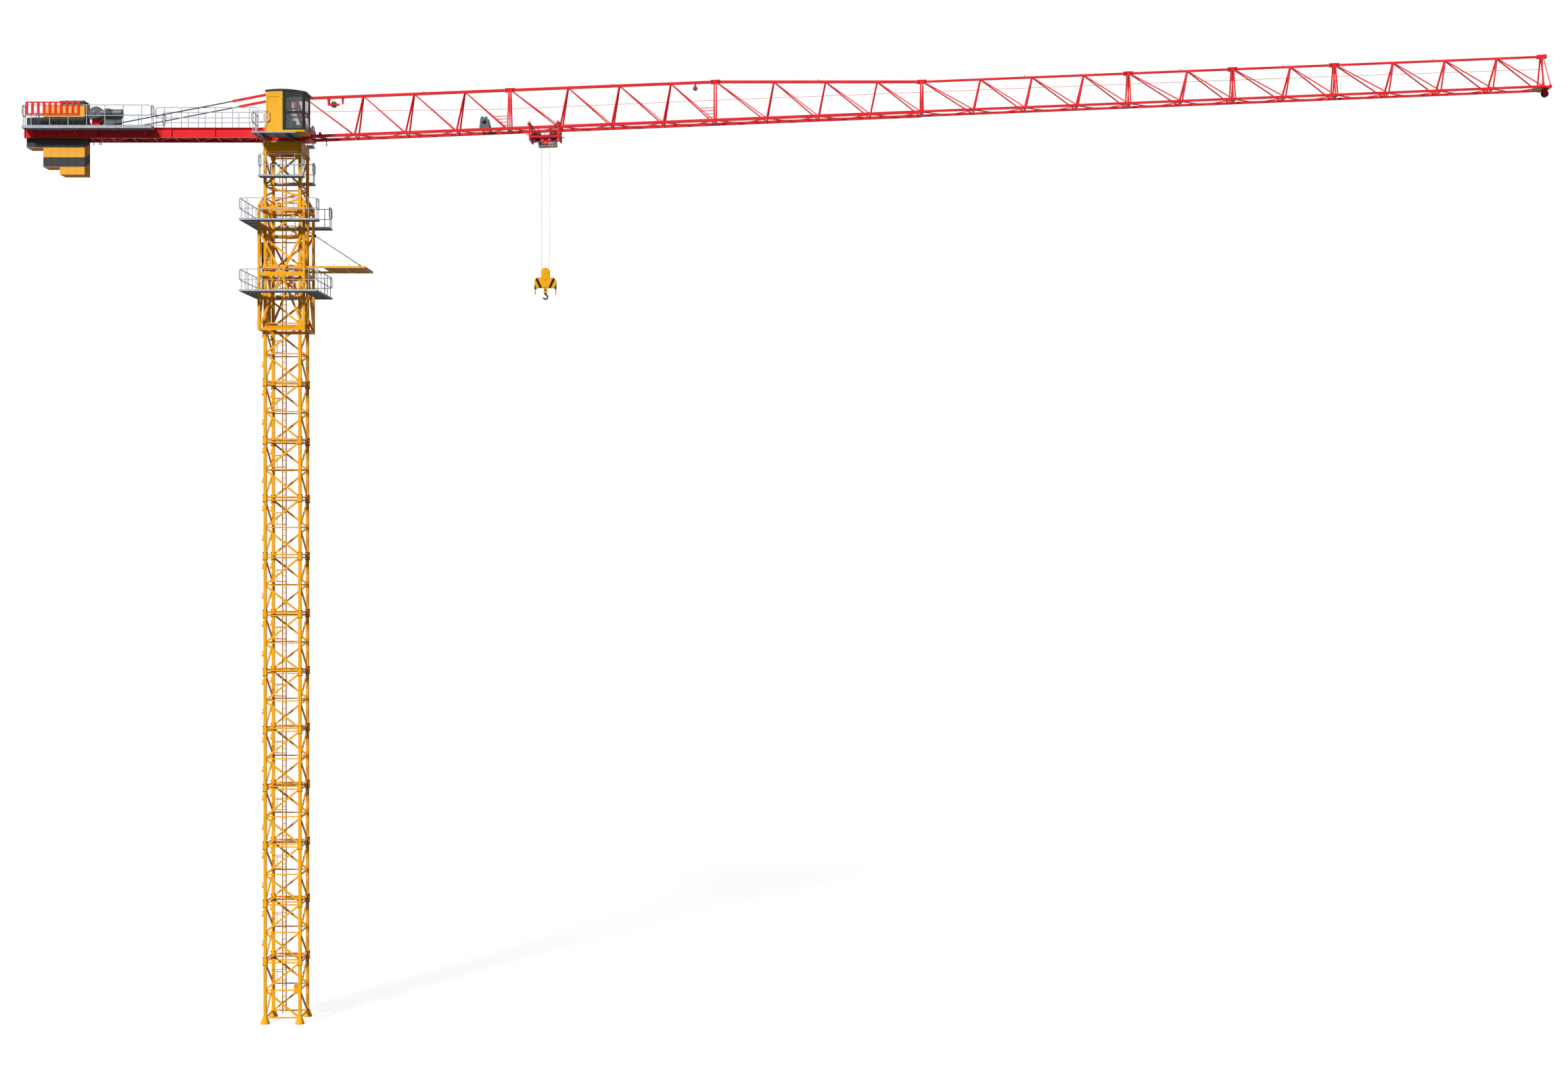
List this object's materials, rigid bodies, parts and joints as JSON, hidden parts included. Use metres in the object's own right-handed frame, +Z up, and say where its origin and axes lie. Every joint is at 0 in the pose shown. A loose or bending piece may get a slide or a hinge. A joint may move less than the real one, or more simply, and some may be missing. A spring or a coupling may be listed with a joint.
{
  "type": "flat-top tower crane scale model at 1:2",
  "caption": "Flat-top tower crane: square lattice mast with climbing frame, slewing triangular jib with trolley and hook, counter jib with slab weights, and a glazed side cab.",
  "frame": {"origin": "centre of the bottom face of the near left foot, on the ground plane; the slewing axis stands 0.4175 m from it along +X and +Y", "axes": "+Z up the mast, +X along the jib, +Y to the far side; the cab is on the -Y side"},
  "size_m": [36.8112, 2.1698, 23.3693],
  "materials": {
    "cab_dark": "satin paint",
    "cab_glass": "clear",
    "concrete": "painted concrete",
    "crane_red": "gloss paint",
    "crane_yellow": "gloss paint",
    "galvanised": "dull zinc",
    "hook_black": "forged",
    "machine_grey": "satin paint",
    "rope_steel": "greased",
    "seat_fabric": "woven",
    "sheave_black": "moulded"
  },
  "bodies": {
    "mast": {"base_feet": "crane_yellow", "climbing_frame_bracing": "crane_yellow", "climbing_frame_fittings": "crane_yellow", "climbing_frame_posts": "crane_yellow", "climbing_platform_lower": "galvanised", "climbing_platform_upper": "galvanised", "introduction_platform": "crane_yellow", "introduction_platform_stays": "rope_steel", "mast_back_bracing": "crane_yellow", "mast_front_bracing": "crane_yellow", "mast_joint_sleeves": "crane_yellow", "mast_ladder_stiles": "galvanised", "mast_left_bracing": "crane_yellow", "mast_legs": "crane_yellow", "mast_rest_platforms": "galvanised", "mast_right_bracing": "crane_yellow", "service_platforms": "galvanised", "slewing_ring": "machine_grey", "slewing_support": "crane_yellow"},
    "upper": {"cab_floor": "cab_dark", "cab_front_frame": "cab_dark", "cab_platform": "galvanised", "cab_rear_panels": "crane_yellow", "cab_roof": "cab_dark", "cab_seat": "seat_fabric", "cab_windows": "cab_glass", "counter_jib_bracing": "crane_red", "counter_jib_girders": "crane_red", "counter_jib_tie_bars": "crane_red", "counter_jib_tie_rods": "rope_steel", "counter_jib_walkways": "galvanised", "counterweights": "concrete", "far_platform": "galvanised", "hoist_winch_drum": "machine_grey", "hoist_winch_frame": "crane_red", "hoist_winch_motor": "machine_grey", "jib_back_web": "crane_red", "jib_bottom_bracing": "crane_red", "jib_front_web": "crane_red", "jib_rope_sheaves": "sheave_black", "jib_running_rails": "crane_red", "jib_sheave_hangers": "crane_red", "jib_tip": "crane_red", "jib_top_chord": "crane_red", "platform_brackets": "cab_dark", "sign_board": "crane_red", "slewing_drives": "machine_grey", "tower_head": "crane_red", "trolley_winch": "machine_grey", "turntable": "crane_red"},
    "trolley": {"hoist_ropes": "rope_steel", "trolley_basket": "galvanised", "trolley_frame": "crane_red", "trolley_sheaves": "sheave_black", "trolley_wheels": "sheave_black"},
    "hook_block": {"hook_block": "crane_yellow", "hook_block_sheave": "sheave_black"},
    "hook": {"hook": "hook_black"}
  },
  "joints": [
    {"name": "slew", "type": "hinge", "parent": "mast", "child": "upper", "pos_m": [0.4175, 0.4175, 21.2], "axis": [0, 0, 1], "continuous": true},
    {"name": "trolley_travel", "type": "slide", "parent": "upper", "child": "trolley", "axis": [0.9992, 0, 0.0403], "range_m": [-4.66, 23.5]},
    {"name": "hook_hoist", "type": "slide", "parent": "trolley", "child": "hook_block", "axis": [0, 0, -1], "range_m": [-2.6, 17], "deforming": ["hoist_ropes"]},
    {"name": "hook_swivel", "type": "hinge", "parent": "hook_block", "child": "hook", "pos_m": [6.6897, 0.4175, 17.6], "axis": [0, 0, 1], "continuous": true}
  ]
}
